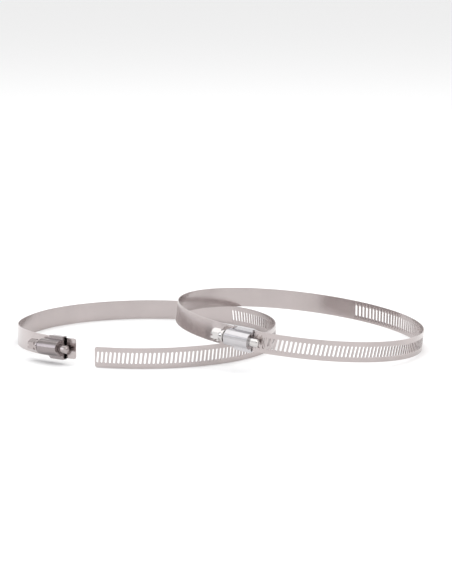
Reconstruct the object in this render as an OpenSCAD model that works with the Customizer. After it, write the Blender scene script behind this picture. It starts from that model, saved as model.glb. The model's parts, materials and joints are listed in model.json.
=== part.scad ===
// Pair of worm-drive duct clamps: one open, lying flat; one closed, leaning on it.
// Each clamp is built with its ring axis on Z, the housing at angle 0 (+X), the
// screw along Y with its hex head toward -Y, then turned and placed.

/* [Strap] */
// Strap width (mm)
strap_w = 12.7; // [8:0.1:16]
// Strap thickness (mm)
strap_t = 0.6; // [0.4:0.05:1]
// Length of each strap, end to end (mm)
strap_len = 507; // [300:1:800]
// Gap between the two strap layers inside the housing (mm)
layer_gap = 0.2; // [0.15:0.01:0.4]
// Corner radius of the strap ends (mm)
end_r = 1.6; // [0.5:0.1:3]
// Relief between strap lengths at each bend line (mm)
bend_gap = 0.1; // [0.05:0.01:0.2]

/* [Slots] */
// Slot pitch along the strap, equal to the thread pitch (mm)
pitch = 2.7; // [2:0.05:4]
// Slot length (mm)
slot_l = 7.0; // [5:0.1:9]
// Slot width (mm)
slot_w = 1.4; // [1:0.05:2]
// Slot lean from the strap's width direction (deg)
slot_lean = 7; // [0:0.5:12]
// Distance from the free end to the first slot's middle (mm)
slot_first = 1.9; // [1.5:0.1:2.2]

/* [Housing] */
// Housing length along the screw (mm)
housing_l = 16; // [13:0.5:22]
// Sheet thickness of the housing (mm)
housing_t = 0.75; // [0.5:0.05:1.2]
// Side wall thickness of the housing skirts (mm)
skirt_t = 0.6; // [0.4:0.05:1.2]
// Room between strap edge and skirt (mm)
skirt_gap = 0.25; // [0.2:0.05:0.8]
// Height of the skirts above the strap's inner face (mm)
skirt_h = 2.9; // [2:0.1:4]
// Setback of the skirts at the head side (mm)
skirt_back = 6.0; // [2:0.1:8]
// Saddle plate thickness (mm)
saddle_t = 0.7; // [0.4:0.05:1]

/* [Screw] */
// Thread outside diameter (mm)
thread_d = 8.0; // [6:0.1:10]
// Thread root diameter (mm)
core_d = 6.2; // [4.5:0.1:8]
// Thread width at its crest (mm)
crest_w = 0.4; // [0.2:0.05:0.8]
// Thread width at its root (mm)
root_w = 0.95; // [0.6:0.05:1.6]
// Hex head across flats (mm)
hex_af = 7.0; // [6:0.5:10]
// Hex head length (mm)
hex_l = 5.5; // [3:0.1:8]
// Collar diameter (mm)
collar_d = 7.6; // [6:0.1:9]
// Collar thickness (mm)
collar_t = 2.5; // [1.5:0.1:3]
// Neck and tip diameter (mm)
neck_d = 5.2; // [4:0.1:6]
// Distance from the housing to the collar (mm)
neck_l = 1.6; // [0.5:0.1:4]
// Length of the tip beyond the housing (mm)
tip_l = 5.0; // [2.6:0.1:6]

/* [Pose] */
// Angle of the fixed strap end past the housing's middle (deg)
tab_a = 10.8; // [7:0.1:15]
// Open clamp: angle of the free strap end (deg)
open_free_a = 20.2; // [14:0.1:60]
// Closed clamp: angle of the free strap end (deg)
closed_free_a = 1.8; // [-12:0.1:6]
// Open clamp: direction of its housing (deg)
open_turn = 229.5; // [0:0.5:360]
// Closed clamp: direction of its housing (deg)
closed_turn = 241.5; // [0:0.5:360]
// Closed clamp: middle, to the right of the open clamp's middle (mm)
closed_x = 97.3; // [90:0.1:130]
// Closed clamp: middle, to the back of the open clamp's middle (mm)
closed_y = -15.4; // [-40:0.1:40]
// Closed clamp: lean about the sideways axis, left side up (deg)
closed_lean = 6.48; // [4:0.01:10]
// Closed clamp: lean about the front axis, front side up (deg)
closed_dip = -0.40; // [-2:0.01:2]
// Open clamp: how far its housing end is bent up out of the ring's plane (deg)
open_bend = 2.6; // [1.2:0.1:4]

/* [Hidden] */
$fn = 96;

steel = [0.74, 0.72, 0.72];
dark_steel = [0.60, 0.60, 0.62];

bend_1 = -60;
bend_2 = -180;
bend_3 = -300;
rise = (strap_t + layer_gap) / 2;
deg = 180 / PI;
eps = 0.01;

// Mid-surface radius of the fixed half, from the strap length.
function ring_r(free_a) =
    (strap_len - rise * (180 - free_a) / deg) / ((360 + tab_a - free_a) / deg);
open_r = ring_r(open_free_a);
closed_r = ring_r(closed_free_a);

mid_z = strap_w / 2;
half_in = mid_z + skirt_gap;
half_out = half_in + skirt_t;
house_y = housing_l / 2;
dome_ri = thread_d / 2 + 0.25;
dome_ro = dome_ri + housing_t;
channel_top = 2 * strap_t + layer_gap + 0.35;
end_wall = 0.9;
end_play = 0.2;
neck_fit = 0.12;
thread_y = house_y - end_wall - end_play;

// Distance of the screw axis from the ring axis, for a ring of mid radius r.
function inner(r) = r - strap_t / 2;
function screw_x(r) = inner(r) + strap_t + layer_gap + thread_d / 2;
function first_slot_a(r, free_a) = free_a + slot_first / (r + rise) * deg;
function slot_count(r, free_a) =
    floor((180 - 1.5 - first_slot_a(r, free_a)) * (r + rise) / deg / pitch) + 1;
function slot_a(r, free_a, i) =
    first_slot_a(r, free_a) + i * pitch / (r + rise) * deg;
// Height along the screw of the slot that the thread meets.
function mesh_y(r, free_a) = (r + rise) * sin(slot_a(r, free_a, 1));

/* ---------- strap ---------- */

// A length of strap between two angles; shift moves its centre along X.
module strap_arc(r, shift, from_a, to_a) {
    translate([shift, 0, 0])
        rotate([0, 0, from_a])
            rotate_extrude(angle = to_a - from_a)
                translate([r - strap_t / 2, 0])
                    square([strap_t, strap_w]);
}

// What is cut from a strap end's two corners; side is +1 where the end faces +angle.
module end_corners(r, shift, at_a, side) {
    translate([shift, 0, 0])
        rotate([0, 0, at_a])
            translate([r + 3, 0, 0])
                rotate([0, -90, 0])
                    linear_extrude(6)
                        difference() {
                            translate([-1, side > 0 ? -end_r : -1])
                                square([strap_w + 2, end_r + 1]);
                            translate([end_r, -side * end_r])
                                circle(end_r + 0.03);
                            translate([strap_w - end_r, -side * end_r])
                                circle(end_r + 0.03);
                            translate([end_r, side > 0 ? -2 * end_r : -2])
                                square([strap_w - 2 * end_r, 2 * end_r + 2]);
                        }
}

module slot_cut(r, a) {
    translate([rise, 0, 0])
        rotate([0, 0, a])
            translate([r + rise - 1.5, 0, mid_z])
                rotate([-slot_lean, 0, 0])
                    rotate([90, 0, 90])
                        linear_extrude(3)
                            union() {
                                square([slot_w, slot_l - slot_w], center = true);
                                translate([0, (slot_l - slot_w) / 2])
                                    circle(d = slot_w);
                                translate([0, -(slot_l - slot_w) / 2])
                                    circle(d = slot_w);
                            }
}

function half_gap(r) = bend_gap / 2 / r * deg;

// Fixed end: tab, the length under the housing, and on to the first bend line.
// trim is what it keeps clear of that line besides the bend gap.
module strap_1(r, trim) {
    difference() {
        strap_arc(r, 0, bend_1 + half_gap(r) + trim / r * deg, tab_a);
        end_corners(r, 0, tab_a, 1);
    }
}

module strap_2(r) {
    strap_arc(r, 0, bend_2 + half_gap(r), bend_1 - half_gap(r));
}

// Slotted lengths.
module strap_3(r, free_a) {
    difference() {
        strap_arc(r + rise, rise, bend_3 + 360 + half_gap(r), bend_2 + 360 - half_gap(r));
        for (i = [0 : slot_count(r, free_a) - 1])
            if (slot_a(r, free_a, i) > bend_3 + 360 + 1.0)
                slot_cut(r, slot_a(r, free_a, i));
    }
}

module strap_4(r, free_a) {
    difference() {
        strap_arc(r + rise, rise, free_a, bend_3 + 360 - half_gap(r));
        end_corners(r + rise, rise, free_a, -1);
        for (i = [0 : slot_count(r, free_a) - 1])
            if (slot_a(r, free_a, i) < bend_3 + 360 - 1.0)
                slot_cut(r, slot_a(r, free_a, i));
    }
}

/* ---------- housing and saddle ---------- */

// Section across the screw: X is away from the ring axis, Y is along the strap width.
module housing_outline(r) {
    translate([screw_x(r), 0])
        circle(dome_ro);
    translate([inner(r) - saddle_t, -half_out])
        square([skirt_h + saddle_t, 2 * half_out]);
}

module along_screw(from_y, to_y) {
    translate([0, to_y, mid_z])
        rotate([90, 0, 0])
            linear_extrude(to_y - from_y)
                children();
}

module housing(r) {
    difference() {
        along_screw(-house_y, house_y)
            housing_outline(r);
        // tunnel for the thread
        along_screw(-house_y + end_wall, house_y - end_wall)
            translate([screw_x(r), 0])
                circle(dome_ri);
        // channel for the saddle and both strap layers
        along_screw(-house_y - 1, house_y + 1)
            translate([inner(r) - saddle_t - 1, -half_in])
                square([saddle_t + 1 + channel_top, 2 * half_in]);
        // bearings for the neck and the tip
        along_screw(-house_y - 1, house_y + 1)
            translate([screw_x(r), 0])
                circle(neck_d / 2 + neck_fit);
        // skirts set back at the head side, with sloped corners
        for (s = [0, 1])
            translate([0, 0, mid_z])
                mirror([0, 0, s])
                    skirt_corner(r);
    }
}

// What is cut from a skirt: drawn with X along the screw and Y along the strap width.
module skirt_corner(r) {
    translate([inner(r) - saddle_t - 1, 0, 0])
        rotate([90, 0, 90])
            linear_extrude(skirt_h + saddle_t + 2)
                polygon([[-house_y - 1, dome_ro + 0.1],
                         [-house_y + skirt_back / 2, dome_ro + 0.1],
                         [-house_y + skirt_back, half_out + 0.5],
                         [-house_y - 1, half_out + 0.5]]);
}

// Curved plate inside the ring, between the skirts.
module saddle(r) {
    from_a = -(house_y - 1.2) / r * deg;
    to_a = (house_y - 0.4) / r * deg;
    rotate([0, 0, from_a])
        rotate_extrude(angle = to_a - from_a)
            translate([inner(r) - saddle_t, mid_z - half_in])
                square([saddle_t, 2 * half_in]);
}

/* ---------- worm screw ---------- */

function helix_point(rad, turn, y) = [rad * sin(turn), y, rad * cos(turn)];

// Right-hand ridge around Y; its crest passes y0 on the strap side.
module thread(y0) {
    steps = 24;
    turns = 6;
    low = y0 - pitch * (0.75 + floor((y0 + thread_y - 0.75 * pitch - root_w / 2) / pitch));
    slices = floor((thread_y - root_w / 2 - low) / pitch * steps);
    root_r = core_d / 2 - 0.15;
    points = [for (i = [0 : slices])
        let (y = low + pitch * i / steps,
             turn = 360 * i / steps,
             grow = min(1, (i + 0.6) / 8, (slices - i + 0.6) / 8),
             crest_r = core_d / 2 + 0.05 + (thread_d - core_d - 0.1) / 2 * grow)
            each [helix_point(root_r, turn, y - root_w / 2),
                  helix_point(crest_r, turn, y - crest_w / 2),
                  helix_point(crest_r, turn, y + crest_w / 2),
                  helix_point(root_r, turn, y + root_w / 2)]];
    sides = [for (i = [0 : slices - 1])
        for (k = [0 : 3])
            let (a = 4 * i + k, b = 4 * i + (k + 1) % 4)
                each [[a, b, b + 4], [a, b + 4, a + 4]]];
    last = 4 * slices;
    polyhedron(points = points,
               faces = concat([[0, 2, 1], [0, 3, 2]],
                              sides,
                              [[last, last + 1, last + 2], [last, last + 2, last + 3]]));
}

module rod(d, from_y, to_y) {
    translate([0, from_y, 0])
        rotate([-90, 0, 0])
            cylinder(d = d, h = to_y - from_y);
}

module screw(r, y0) {
    head_y = -house_y - neck_l - collar_t;
    translate([screw_x(r), 0, mid_z]) {
        thread(y0);
        rod(core_d, -thread_y, thread_y);
        rod(neck_d, head_y, house_y + tip_l);
        // flange, wider towards the housing
        translate([0, head_y, 0])
            rotate([-90, 0, 0])
                cylinder(d1 = hex_af, d2 = collar_d, h = collar_t - 1);
        rod(collar_d, head_y + collar_t - 1, head_y + collar_t);
        // rounded tip
        intersection() {
            translate([0, house_y + tip_l - 2.4, 0])
                sphere(3.5);
            rod(neck_d, house_y + tip_l - 0.5, house_y + tip_l + 3);
        }
        // hex head with chamfered corners and a driver slot
        difference() {
            intersection() {
                translate([0, head_y - hex_l, 0])
                    rotate([-90, 30, 0])
                        cylinder(d = hex_af / cos(30), h = hex_l + eps, $fn = 6);
                translate([0, head_y - hex_l, 0])
                    rotate([-90, 0, 0])
                        cylinder(r1 = hex_af / 2 - 0.2, r2 = hex_af / 2 + hex_l, h = hex_l + eps);
            }
            translate([-hex_af, head_y - hex_l - 1, -0.6])
                cube([2 * hex_af, 2.5, 1.2]);
        }
    }
}

/* ---------- placing ---------- */

// The closed clamp stands on its right edge.
closed_up = (closed_r + strap_t / 2 + rise)
    * sqrt(pow(sin(closed_lean), 2) + pow(sin(closed_dip), 2)) + 0.05;

// Middle of both clamps together.
middle_x = 47.15;
middle_y = -6.94;

module place_open() {
    translate([-middle_x, -middle_y, 0])
        rotate([0, 0, open_turn])
            children();
}

// The open clamp's housing end is bent up about the first bend line.
module place_open_end() {
    place_open()
        translate([0, 0, mid_z])
            rotate([0, 0, bend_1])
                rotate([open_bend, 0, 0])
                    rotate([0, 0, -bend_1])
                        translate([0, 0, -mid_z])
                            children();
}

module place_closed() {
    translate([closed_x - middle_x, closed_y - middle_y, closed_up])
        rotate([0, closed_lean, 0])
            rotate([-closed_dip, 0, 0])
                rotate([0, 0, closed_turn])
                    children();
}

/* ---------- nodes ---------- */

module open_housing() { color(dark_steel) place_open_end() housing(open_r); }
module open_saddle() { color(steel) place_open_end() saddle(open_r); }
module open_screw() { color(dark_steel) place_open_end() screw(open_r, 0); }
module open_strap_1() { color(steel) place_open_end() strap_1(open_r, mid_z * sin(open_bend)); }
module open_strap_2() { color(steel) place_open() strap_2(open_r); }
module open_strap_3() { color(steel) place_open() strap_3(open_r, open_free_a); }
module open_strap_4() { color(steel) place_open() strap_4(open_r, open_free_a); }

module closed_housing() { color(steel) place_closed() housing(closed_r); }
module closed_saddle() { color(steel) place_closed() saddle(closed_r); }
module closed_screw() {
    color(dark_steel) place_closed() screw(closed_r, mesh_y(closed_r, closed_free_a));
}
module closed_strap_1() { color(steel) place_closed() strap_1(closed_r, 0); }
module closed_strap_2() { color(steel) place_closed() strap_2(closed_r); }
module closed_strap_3() { color(steel) place_closed() strap_3(closed_r, closed_free_a); }
module closed_strap_4() { color(steel) place_closed() strap_4(closed_r, closed_free_a); }

open_housing();
open_saddle();
open_screw();
open_strap_1();
open_strap_2();
open_strap_3();
open_strap_4();
closed_housing();
closed_saddle();
closed_screw();
closed_strap_1();
closed_strap_2();
closed_strap_3();
closed_strap_4();
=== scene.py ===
"""Two worm-drive duct clamps of bright stainless strip, one open and flat, one closed and leaning.

Sizes are in metres. Each clamp is worked out in its own ring frame: ring axis on Z, housing
at angle 0, strap lengths measured from the fixed tab end round to the free end.
"""
import json
from math import cos, pi, radians, sin, sqrt

import bmesh
import bpy
from mathutils import Matrix, Vector
from mathutils.geometry import tessellate_polygon


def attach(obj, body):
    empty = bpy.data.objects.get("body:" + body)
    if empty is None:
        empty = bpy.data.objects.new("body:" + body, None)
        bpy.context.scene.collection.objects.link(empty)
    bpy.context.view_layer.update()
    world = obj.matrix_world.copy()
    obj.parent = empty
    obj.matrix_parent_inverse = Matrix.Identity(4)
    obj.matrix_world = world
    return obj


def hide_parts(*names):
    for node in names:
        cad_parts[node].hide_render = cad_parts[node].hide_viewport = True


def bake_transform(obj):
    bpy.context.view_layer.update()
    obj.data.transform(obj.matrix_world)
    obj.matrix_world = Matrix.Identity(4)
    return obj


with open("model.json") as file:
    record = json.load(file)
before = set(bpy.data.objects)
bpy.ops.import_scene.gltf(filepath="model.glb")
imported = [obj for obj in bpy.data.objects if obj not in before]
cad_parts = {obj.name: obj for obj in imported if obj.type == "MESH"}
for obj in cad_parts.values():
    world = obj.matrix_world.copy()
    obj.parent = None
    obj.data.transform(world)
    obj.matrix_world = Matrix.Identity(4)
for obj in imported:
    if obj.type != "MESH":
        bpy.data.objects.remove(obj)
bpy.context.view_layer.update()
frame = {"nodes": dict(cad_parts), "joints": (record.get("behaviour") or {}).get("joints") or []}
JOINTS = {j["name"]: j for j in frame["joints"]}

MM = 0.001

# strap
STRAP_W = 12.7 * MM
STRAP_T = 0.6 * MM
LAYER_RISE = 0.4 * MM
TAB_ANGLE = radians(10.8)
END_RADIUS = 1.6 * MM
EDGE_ROUND = 0.09 * MM

# slots
SLOT_PITCH = 2.7 * MM
SLOT_L = 7.0 * MM
SLOT_W = 1.4 * MM
SLOT_LEAN = radians(7)
SLOT_FIRST = 1.9 * MM
UNSLOTTED = radians(1.5)

# strap length, shared by both clamps
STRAP_LEN = 507 * MM

# bend of the open clamp's housing end out of the ring's plane
OPEN_BEND = radians(2.6)
BEND_FROM = radians(-88)
BEND_TO = radians(-32)

# strap hinges and piece seams, by angle round the ring
HINGE_NEAR = radians(-60)
HINGE_FAR = radians(-180)
HINGE_FREE = radians(-300)
SEAM_NEAR = radians(-120)
SEAM_FREE = radians(-240)
BLEND_REACH = radians(50)
HOUSING_SIDE = radians(34)
FREE_END_SIDE = radians(30)

# mesh fineness
ARC_STEPS = 8
CORNER_STEPS = 6
WRAP_STEP = 1.6 * MM
SAME_POINT = 1e-7


# ---------------------------------------------------------------- node helpers

def add(tree, kind, inputs=None, **settings):
    """A node with its settings made and its inputs either linked or set."""
    made = tree.nodes.new(kind)
    for key, value in settings.items():
        setattr(made, key, value)
    for key, value in (inputs or {}).items():
        socket = made.inputs[key]
        if isinstance(value, bpy.types.NodeSocket):
            tree.links.new(value, socket)
        else:
            socket.default_value = value
    return made


def maths(tree, operation, a, b=0.0, c=0.0):
    """The result of one math node."""
    return add(tree, "ShaderNodeMath", {0: a, 1: b, 2: c}, operation=operation).outputs[0]


# ---------------------------------------------------------------- the strap on its ring

def strap_on_ring_tree():
    """Repeats a flat length of strap along a line and wraps the row round a two-arc ring.

    In the flat length X runs from tab end to free end, Y is away from the ring axis, Z is up.
    """
    tree = bpy.data.node_groups.new("strap_on_ring", "GeometryNodeTree")
    face = tree.interface
    face.new_socket("Geometry", in_out="INPUT", socket_type="NodeSocketGeometry")
    for name in ("Pitch", "Start", "Ring Radius", "Layer Rise", "Tab Angle", "Bend Angle",
                 "Bend From", "Bend To", "Bend Line", "Middle Height"):
        face.new_socket(name, in_out="INPUT", socket_type="NodeSocketFloat")
    face.new_socket("Count", in_out="INPUT", socket_type="NodeSocketInt")
    face.new_socket("Finish", in_out="INPUT", socket_type="NodeSocketMaterial")
    face.new_socket("Geometry", in_out="OUTPUT", socket_type="NodeSocketGeometry")
    given = tree.nodes.new("NodeGroupInput").outputs
    result = tree.nodes.new("NodeGroupOutput")

    # the row of equal lengths
    step = add(tree, "ShaderNodeCombineXYZ", {"X": given["Pitch"]}).outputs[0]
    first = add(tree, "ShaderNodeCombineXYZ", {"X": given["Start"]}).outputs[0]
    line = add(tree, "GeometryNodeMeshLine",
               {"Count": given["Count"], "Start Location": first, "Offset": step},
               mode="OFFSET").outputs[0]
    row = add(tree, "GeometryNodeInstanceOnPoints",
              {"Points": line, "Instance": given["Geometry"]}).outputs[0]
    row = add(tree, "GeometryNodeRealizeInstances", {"Geometry": row}).outputs[0]
    row = add(tree, "GeometryNodeMergeByDistance", {"Geometry": row, "Distance": 2e-6}).outputs[0]

    # the flat place is kept for the rolled grain
    place = tree.nodes.new("GeometryNodeInputPosition").outputs[0]
    row = add(tree, "GeometryNodeStoreNamedAttribute",
              {"Geometry": row, "Name": "strip", "Value": place},
              data_type="FLOAT_VECTOR", domain="POINT").outputs[0]
    flat = add(tree, "ShaderNodeSeparateXYZ", {0: place}).outputs
    along, out, up = flat[0], flat[1], flat[2]

    # first half turn about the ring's middle
    radius, rise, tab = given["Ring Radius"], given["Layer Rise"], given["Tab Angle"]
    near_angle = maths(tree, "SUBTRACT", tab, maths(tree, "DIVIDE", along, radius))
    half_at = maths(tree, "MULTIPLY", maths(tree, "ADD", tab, pi), radius)
    # second half turn about a middle moved outwards by the rise
    far_radius = maths(tree, "ADD", radius, rise)
    past_half = maths(tree, "SUBTRACT", along, half_at)
    far_angle = maths(tree, "SUBTRACT", -pi, maths(tree, "DIVIDE", past_half, far_radius))
    is_far = maths(tree, "GREATER_THAN", past_half, 0.0)

    def chosen(near, far):
        return add(tree, "GeometryNodeSwitch", {"Switch": is_far, "False": near, "True": far},
                   input_type="FLOAT").outputs[0]

    angle = chosen(near_angle, far_angle)
    reach = maths(tree, "ADD", chosen(radius, far_radius), out)
    shift = maths(tree, "MULTIPLY", is_far, rise)
    x = maths(tree, "MULTIPLY_ADD", reach, maths(tree, "COSINE", angle), shift)
    y = maths(tree, "MULTIPLY", reach, maths(tree, "SINE", angle))
    wrapped = add(tree, "ShaderNodeCombineXYZ", {0: x, 1: y, 2: up}).outputs[0]

    # the housing end lifts out of the plane in a smooth twist about one radial line
    bent = add(tree, "ShaderNodeMapRange",
               {"Value": near_angle, "From Min": given["Bend From"], "From Max": given["Bend To"],
                "To Min": 0.0, "To Max": given["Bend Angle"]},
               interpolation_type="SMOOTHSTEP").outputs[0]
    pivot = add(tree, "ShaderNodeCombineXYZ", {2: given["Middle Height"]}).outputs[0]
    radial = add(tree, "ShaderNodeCombineXYZ",
                 {0: maths(tree, "COSINE", given["Bend Line"]),
                  1: maths(tree, "SINE", given["Bend Line"])}).outputs[0]
    turned = add(tree, "ShaderNodeVectorRotate",
                 {"Vector": wrapped, "Center": pivot, "Axis": radial, "Angle": bent},
                 rotation_type="AXIS_ANGLE").outputs[0]
    row = add(tree, "GeometryNodeSetPosition", {"Geometry": row, "Position": turned}).outputs[0]
    row = add(tree, "GeometryNodeSetMaterial",
              {"Geometry": row, "Material": given["Finish"]}).outputs[0]
    tree.links.new(row, result.inputs[0])
    return tree


class Clamp:
    """The ring frame of one clamp, worked out from two of its strap joints."""

    def __init__(self, name, bend):
        self.name = name
        self.bend = bend
        near, far = (Vector(JOINTS[f"{name}_flex_{k}"]["pos_m"]) for k in ("near", "far"))
        up = -Vector(JOINTS[f"{name}_flex_near"]["axis"]).normalized()
        # these hinges stand 120 degrees apart, so their chord is the radius times root three
        chord = near - far
        self.radius = chord.length / sqrt(3)
        side = Matrix.Rotation(radians(30), 3, up) @ chord.normalized()
        middle = far + side * self.radius - up * STRAP_W / 2
        turn = Matrix((side, up.cross(side), up)).transposed()
        self.place = Matrix.Translation(middle) @ turn.to_4x4()
        self.half_at = (TAB_ANGLE + pi) * self.radius
        self.far_radius = self.radius + LAYER_RISE

    def at(self, angle, height=STRAP_W / 2):
        """A point on the strap, by the angle round the ring from the housing, tab side first."""
        far = angle < -pi
        reach = self.far_radius if far else self.radius
        local = Vector((reach * cos(angle) + (LAYER_RISE if far else 0), reach * sin(angle), height))
        return self.place @ local

    def along(self, angle):
        """Distance from the tab end to an angle round the ring."""
        if angle >= -pi:
            return (TAB_ANGLE - angle) * self.radius
        return self.half_at + (-pi - angle) * self.far_radius


def on_ring(mesh, clamp, finish, tree, count=1, pitch=0.0, start=0.0):
    """The flat mesh repeated and wrapped round the clamp's ring, as a plain mesh in place."""
    flat = bpy.data.objects.new("flat_strap", mesh)
    bpy.context.scene.collection.objects.link(flat)
    wrap = flat.modifiers.new("wrap", "NODES")
    wrap.node_group = tree
    sizes = {"Pitch": pitch, "Start": start, "Ring Radius": clamp.radius, "Layer Rise": LAYER_RISE,
             "Tab Angle": TAB_ANGLE, "Bend Angle": clamp.bend, "Bend From": BEND_FROM,
             "Bend To": BEND_TO, "Bend Line": HINGE_NEAR, "Middle Height": STRAP_W / 2,
             "Count": count, "Finish": finish}
    for item in tree.interface.items_tree:
        if item.in_out == "INPUT" and item.name in sizes:
            wrap[item.identifier] = sizes[item.name]
    bpy.context.view_layer.update()
    evaluated = flat.evaluated_get(bpy.context.evaluated_depsgraph_get())
    made = bpy.data.meshes.new_from_object(evaluated)
    bpy.data.objects.remove(flat)
    made.transform(clamp.place)
    return made


# ---------------------------------------------------------------- flat lengths of strap

def slot_outline(middle):
    """Points round one leaning slot, anticlockwise seen from outside."""
    straight = (SLOT_L - SLOT_W) / 2
    points = []
    for end in (1, -1):
        for i in range(ARC_STEPS + 1):
            turn = pi * i / ARC_STEPS + (0 if end > 0 else pi)
            points.append((SLOT_W / 2 * cos(turn), end * straight + SLOT_W / 2 * sin(turn)))
    c, s = cos(SLOT_LEAN), sin(SLOT_LEAN)
    return [(middle + x * c - y * s, STRAP_W / 2 + x * s + y * c) for x, y in points]


def rounded_end(at, side):
    """Outline corners of a strap end at X = at; side is +1 where the strap lies at larger X."""
    points = []
    for corner, from_turn in ((END_RADIUS, 0), (STRAP_W - END_RADIUS, pi / 2)):
        for i in range(CORNER_STEPS + 1):
            turn = pi / 2 * i / CORNER_STEPS + from_turn
            points.append((at + side * END_RADIUS * (1 - sin(turn)),
                           corner - END_RADIUS * cos(turn)))
    return points


def plate(outer, holes=()):
    """A flat strap mesh, as thick as the strap, from an outline and its holes."""
    bm = bmesh.new()
    loops = [[Vector((x, z, 0)) for x, z in loop] for loop in (outer, *holes)]
    triangles = tessellate_polygon(loops)
    points = [p for loop in loops for p in loop]
    sheets = [[bm.verts.new((p.x, y, p.y)) for p in points] for y in (-STRAP_T / 2, STRAP_T / 2)]
    for tri in triangles:
        for sheet in sheets:
            bm.faces.new([sheet[i] for i in tri])
    first = 0
    for loop in loops:
        n = len(loop)
        for i in range(n):
            a, b = first + i, first + (i + 1) % n
            bm.faces.new([sheets[0][a], sheets[0][b], sheets[1][b], sheets[1][a]])
        first += n
    return bm


def open_at(bm, seams):
    """Takes away the walls at the seams, where the next length of strap joins on."""
    walls = [f for f in bm.faces
             if any(all(abs(v.co.x - seam) < SAME_POINT for v in f.verts) for seam in seams)]
    bmesh.ops.delete(bm, geom=walls, context="FACES_ONLY")


def finished(bm, seams=()):
    """The mesh with its faces outward and its walls at the seams gone."""
    bmesh.ops.recalc_face_normals(bm, faces=bm.faces)
    open_at(bm, seams)
    mesh = bpy.data.meshes.new("flat_strap")
    bm.to_mesh(mesh)
    bm.free()
    return mesh


def slotted_length():
    """One pitch of slotted strap, its slot at X = 0."""
    half = SLOT_PITCH / 2
    outline = [(-half, 0), (half, 0), (half, STRAP_W), (-half, STRAP_W)]
    return finished(plate(outline, [slot_outline(0)]), (-half, half))


def free_end():
    """The last pitch with the rounded free end, its slot at X = 0."""
    half = SLOT_PITCH / 2
    end = rounded_end(SLOT_FIRST, -1)
    outline = [(-half, 0)] + end + [(-half, STRAP_W)]
    return finished(plate(outline, [slot_outline(0)]), (-half,))


def plain_length(from_x, to_x, round_start=False):
    """Unslotted strap between two distances, in steps short enough to wrap smoothly."""
    steps = max(1, round((to_x - from_x) / WRAP_STEP))
    first_x = from_x
    if round_start:
        first_x += END_RADIUS
        bm = plate(list(reversed(rounded_end(from_x, 1))))
        open_at(bm, [first_x])
    else:
        bm = bmesh.new()
    half_t = STRAP_T / 2
    section = ((-half_t, 0), (half_t, 0), (half_t, STRAP_W), (-half_t, STRAP_W))
    rows = []
    for i in range(steps + 1):
        x = first_x + (to_x - first_x) * i / steps
        rows.append([bm.verts.new((x, y, z)) for y, z in section])
    for a, b in zip(rows, rows[1:]):
        for k in range(4):
            bm.faces.new([a[k], b[k], b[(k + 1) % 4], a[(k + 1) % 4]])
    bmesh.ops.remove_doubles(bm, verts=bm.verts, dist=SAME_POINT)
    return finished(bm)


# ---------------------------------------------------------------- finishes

def metal(name, colour, rough, grain, strip=False, worn=0.06, tint=(1.0, 1.0, 1.0)):
    """Bright stainless steel with rolled grain, soft cloudy variation and faint handling marks."""
    made = bpy.data.materials.new(name)
    made.use_nodes = True
    tree = made.node_tree
    tree.nodes.clear()
    shader = add(tree, "ShaderNodeBsdfPrincipled", {"Metallic": 1.0})
    result = add(tree, "ShaderNodeOutputMaterial")
    tree.links.new(shader.outputs[0], result.inputs[0])
    if strip:
        place = add(tree, "ShaderNodeAttribute", attribute_name="strip").outputs["Vector"]
    else:
        place = add(tree, "ShaderNodeTexCoord").outputs["Object"]
    lengthwise = (25, 600, 9000) if strip else (900, 900, 900)
    grain_at = add(tree, "ShaderNodeMapping", {"Vector": place, "Scale": lengthwise}).outputs[0]
    lines = add(tree, "ShaderNodeTexNoise",
                {"Vector": grain_at, "Scale": 1.0, "Detail": 5.0, "Roughness": 0.6}).outputs[0]
    cloud = add(tree, "ShaderNodeTexNoise",
                {"Vector": place, "Scale": 34.0, "Detail": 3.0, "Roughness": 0.55}).outputs[0]
    marks = add(tree, "ShaderNodeTexNoise",
                {"Vector": place, "Scale": 420.0, "Detail": 6.0, "Roughness": 0.7}).outputs[0]
    # colour: cloudy, with slightly darker grain lines
    tone = add(tree, "ShaderNodeMapRange", {"Value": cloud, "From Min": 0.3, "From Max": 0.7,
                                            "To Min": 1 - worn, "To Max": 1 + worn}).outputs[0]
    fine = add(tree, "ShaderNodeMapRange", {"Value": lines, "From Min": 0.25, "From Max": 0.75,
                                            "To Min": 0.95, "To Max": 1.05}).outputs[0]
    both = maths(tree, "MULTIPLY", tone, fine)
    shade = add(tree, "ShaderNodeMix", {0: 1.0, 6: (*colour, 1.0), 7: both},
                data_type="RGBA", blend_type="MULTIPLY").outputs[2]
    tree.links.new(shade, shader.inputs["Base Color"])
    # roughness: grain and handling marks
    gloss = add(tree, "ShaderNodeMapRange", {"Value": marks, "From Min": 0.35, "From Max": 0.7,
                                             "To Min": rough * 0.8, "To Max": rough * 1.35}).outputs[0]
    gloss = maths(tree, "MULTIPLY_ADD", lines, grain * 0.25, gloss)
    tree.links.new(gloss, shader.inputs["Roughness"])
    relief = add(tree, "ShaderNodeBump", {"Height": lines, "Strength": grain,
                                          "Distance": 0.000002}).outputs[0]
    tree.links.new(relief, shader.inputs["Normal"])
    return made


strap_steel = metal("rolled_strap_steel", (0.48, 0.43, 0.423), 0.14, 0.3, strip=True)
housing_steel = metal("pressed_housing_steel", (0.50, 0.485, 0.495), 0.1, 0.12)
# a darker copy of the housing steel for the open clamp: painted shade
shaded_housing_steel = metal("pressed_housing_steel_shaded", (0.30, 0.265, 0.265), 0.13, 0.2, worn=0.14)
screw_steel = metal("plated_screw_steel", (0.58, 0.56, 0.55), 0.1, 0.1)
# a darker copy of the screw steel for the open clamp: painted shade
shaded_screw_steel = metal("plated_screw_steel_shaded", (0.40, 0.355, 0.35), 0.12, 0.15, worn=0.12)
saddle_steel = metal("pressed_saddle_steel", (0.42, 0.40, 0.40), 0.22, 0.2)


# ---------------------------------------------------------------- pieces

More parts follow.
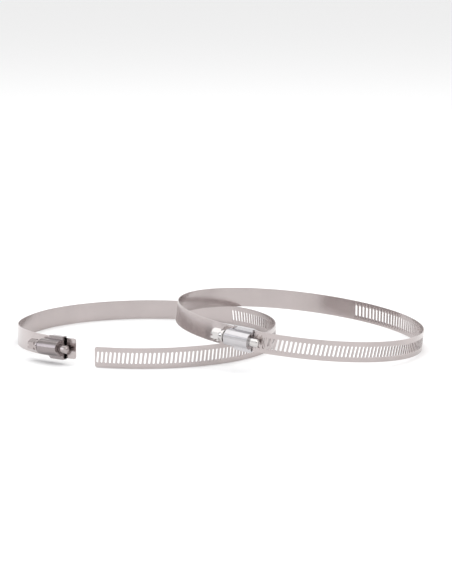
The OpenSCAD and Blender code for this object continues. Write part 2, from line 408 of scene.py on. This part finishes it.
def settle(piece):
    """The piece's modifiers worked into its mesh."""
    bpy.context.view_layer.update()
    made = bpy.data.meshes.new_from_object(
        piece.evaluated_get(bpy.context.evaluated_depsgraph_get()))
    piece.modifiers.clear()
    piece.data = made


def as_piece(name, meshes, finish, edge=EDGE_ROUND):
    """One piece from meshes that meet, its edges rounded and its open seams closed."""
    bm = bmesh.new()
    for mesh in meshes:
        bm.from_mesh(mesh)
    bmesh.ops.remove_doubles(bm, verts=bm.verts, dist=3e-6)
    bmesh.ops.recalc_face_normals(bm, faces=bm.faces)
    joined = bpy.data.meshes.new(name)
    bm.to_mesh(joined)
    bm.free()
    joined.materials.clear()
    joined.materials.append(finish)
    piece = bpy.data.objects.new(name, joined)
    bpy.context.scene.collection.objects.link(piece)
    if edge:
        bevel = piece.modifiers.new("edges", "BEVEL")
        bevel.width = edge
        bevel.segments = 2
        bevel.limit_method = "ANGLE"
        bevel.angle_limit = radians(35)
        settle(piece)
    bm = bmesh.new()
    bm.from_mesh(piece.data)
    rims = [e for e in bm.edges if e.is_boundary]
    if rims:
        bmesh.ops.holes_fill(bm, edges=rims, sides=0)
        bmesh.ops.remove_doubles(bm, verts=bm.verts, dist=2e-6)
        bmesh.ops.dissolve_degenerate(bm, edges=bm.edges, dist=1e-6)
    for f in bm.faces:
        f.smooth = True
    for e in bm.edges:
        if len(e.link_faces) == 2 and e.calc_face_angle(0) > radians(40):
            e.smooth = False
    bm.to_mesh(piece.data)
    bm.free()
    even = piece.modifiers.new("even_shading", "WEIGHTED_NORMAL")
    even.keep_sharp = True
    settle(piece)
    return piece


tree = strap_on_ring_tree()
slot_cell = slotted_length()
end_cell = free_end()


def strap_pieces(clamp):
    """The clamp's strap in three pieces, each spanning one joint."""
    name = clamp.name
    # slot positions count back from the free end
    last_slot = STRAP_LEN - SLOT_FIRST
    slots_from = clamp.half_at + UNSLOTTED * clamp.far_radius
    count = int((last_slot - slots_from) / SLOT_PITCH) + 1
    first_slot = last_slot - (count - 1) * SLOT_PITCH
    near_seam = clamp.along(SEAM_NEAR)
    # the seam between the slotted pieces lies between two slots
    before = round((clamp.along(SEAM_FREE) - first_slot) / SLOT_PITCH)
    plain_end = first_slot - SLOT_PITCH / 2

    def ring(mesh, **row):
        return on_ring(mesh, clamp, strap_steel, tree, **row)

    near = as_piece(f"{name}_strap_fixed_end",
                    [ring(plain_length(0, near_seam, round_start=True))], strap_steel)
    middle = as_piece(f"{name}_strap_middle",
                      [ring(plain_length(near_seam, plain_end)),
                       ring(slot_cell, count=before, pitch=SLOT_PITCH, start=first_slot)],
                      strap_steel)
    free = as_piece(f"{name}_strap_free_end",
                    [ring(slot_cell, count=count - 1 - before, pitch=SLOT_PITCH,
                          start=first_slot + before * SLOT_PITCH),
                     ring(end_cell, start=last_slot)], strap_steel)

    def across(piece, angle, back, on):
        """Works out the strap's points an angle before and after a hinge, which are not used, and
        bakes the piece's placing into its mesh.
        """
        tuple(clamp.at(angle + back))
        tuple(clamp.at(angle - on))
        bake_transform(piece)

    across(near, HINGE_NEAR, HOUSING_SIDE, BLEND_REACH)
    across(middle, HINGE_FAR, BLEND_REACH, BLEND_REACH)
    across(free, HINGE_FREE, BLEND_REACH, FREE_END_SIDE)
    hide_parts(f"{name}_strap_1")
    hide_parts(f"{name}_strap_2", f"{name}_strap_3")
    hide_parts(f"{name}_strap_4")


def softened(node, name, body, finish, edge):
    """A solid part again with its edges rounded over, in place of the plain one."""
    piece = as_piece(name, [frame["nodes"][node].data], finish, edge)
    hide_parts(node)
    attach(piece, body)
    return piece


open_clamp = Clamp("open", OPEN_BEND)
closed_clamp = Clamp("closed", 0.0)
for clamp in (open_clamp, closed_clamp):
    strap_pieces(clamp)

# the open clamp takes the darker housing and screw copies, painted shade
for name, shell, screw in (("open", shaded_housing_steel, shaded_screw_steel),
                           ("closed", housing_steel, screw_steel)):
    softened(f"{name}_housing", f"{name}_housing_shell", f"{name}_end", shell, 0.14 * MM)
    softened(f"{name}_screw", f"{name}_worm_screw", f"{name}_screw", screw, 0.06 * MM)
    saddle = frame["nodes"][f"{name}_saddle"]
    for slot in saddle.material_slots:
        slot.material = saddle_steel


# ---------------------------------------------------------------- floor, light and camera

def floor():
    """A wide pale floor under the clamps."""
    bm = bmesh.new()
    bmesh.ops.create_grid(bm, x_segments=1, y_segments=1, size=30)
    mesh = bpy.data.meshes.new("floor")
    bm.to_mesh(mesh)
    bm.free()
    made = bpy.data.objects.new("floor", mesh)
    made.location.z = -0.0002
    bpy.context.scene.collection.objects.link(made)
    mesh.materials.append(matt("pale_floor", (0.95, 0.95, 0.95), specular=0.0))


def soft_light(name, at, look_at, size, power, colour=(1, 1, 1)):
    lamp = bpy.data.lights.new(name, "AREA")
    lamp.shape = "RECTANGLE"
    lamp.size, lamp.size_y = size
    lamp.energy = power
    lamp.color = colour
    made = bpy.data.objects.new(name, lamp)
    made.location = at
    made.rotation_euler = (Vector(look_at) - Vector(at)).to_track_quat("-Z", "Y").to_euler()
    bpy.context.scene.collection.objects.link(made)


def dark_card(name, at, look_at, size):
    """An upright dark panel beside the clamps, there only to be mirrored in the steel."""
    half_w, half_h = size[0] / 2, size[1] / 2
    bm = bmesh.new()
    corners = [bm.verts.new(c) for c in ((-half_w, -half_h, 0), (half_w, -half_h, 0),
                                         (half_w, half_h, 0), (-half_w, half_h, 0))]
    bm.faces.new(corners)
    mesh = bpy.data.meshes.new(name)
    bm.to_mesh(mesh)
    bm.free()
    mesh.materials.append(card_black)
    made = bpy.data.objects.new(name, mesh)
    made.location = at
    made.rotation_euler = (Vector(look_at) - Vector(at)).to_track_quat("Z", "Y").to_euler()
    made.visible_camera = False
    made.visible_shadow = False
    made.visible_diffuse = False
    bpy.context.scene.collection.objects.link(made)


def matt(name, colour, specular=0.5):
    """A plain matt finish for what stands round the part."""
    made = bpy.data.materials.new(name)
    made.use_nodes = True
    shader = made.node_tree.nodes["Principled BSDF"]
    shader.inputs["Base Color"].default_value = (*colour, 1)
    shader.inputs["Roughness"].default_value = 0.9
    shader.inputs["Specular IOR Level"].default_value = specular
    return made


card_black = matt("card_black", (0.02, 0.02, 0.022))

floor()
dark_card("card_left", (-0.62, -0.30, 0.10), (0, 0, 0.03), (0.30, 0.20))
dark_card("card_right", (0.60, -0.42, 0.10), (0, 0, 0.03), (0.24, 0.20))
soft_light("overhead", (0, 0.1, 1.6), (0, 0, 0), (2.4, 2.4), 16)
soft_light("left_cool", (-1.5, -0.4, 0.7), (0, 0, 0), (1.0, 1.2), 5, (0.86, 0.91, 1.0))
soft_light("right_warm", (1.5, -0.6, 0.6), (0, 0, 0), (0.8, 1.0), 3, (1.0, 0.95, 0.92))

# a bright band all round at the horizon, greyer overhead
world = bpy.data.worlds.new("soft_room")
bpy.context.scene.world = world
world.use_nodes = True
sky = world.node_tree
compass = sky.nodes.new("ShaderNodeTexCoord")
height = add(sky, "ShaderNodeSeparateXYZ", {0: compass.outputs["Generated"]}).outputs[2]
fade = add(sky, "ShaderNodeMapRange", {"Value": height, "From Min": 0.12, "From Max": 0.6,
                                       "To Min": 1.15, "To Max": 0.85},
           interpolation_type="SMOOTHSTEP").outputs[0]
sky.links.new(fade, sky.nodes["Background"].inputs[1])
sky.nodes["Background"].inputs[0].default_value = (1.0, 1.0, 1.0, 1)

CAMERA_AT = (3.9 * MM, -1424.7 * MM, 283.6 * MM)
CAMERA_DOWN = 0.1734
camera = bpy.data.objects.new("camera", bpy.data.cameras.new("camera"))
camera.location = CAMERA_AT
camera.rotation_euler = (pi / 2 - CAMERA_DOWN, 0, 0)
camera.data.lens = 139.3
camera.data.clip_start = 0.01
camera.data.clip_end = 100
bpy.context.scene.collection.objects.link(camera)
bpy.context.scene.camera = camera
bpy.context.scene.view_settings.view_transform = "Standard"
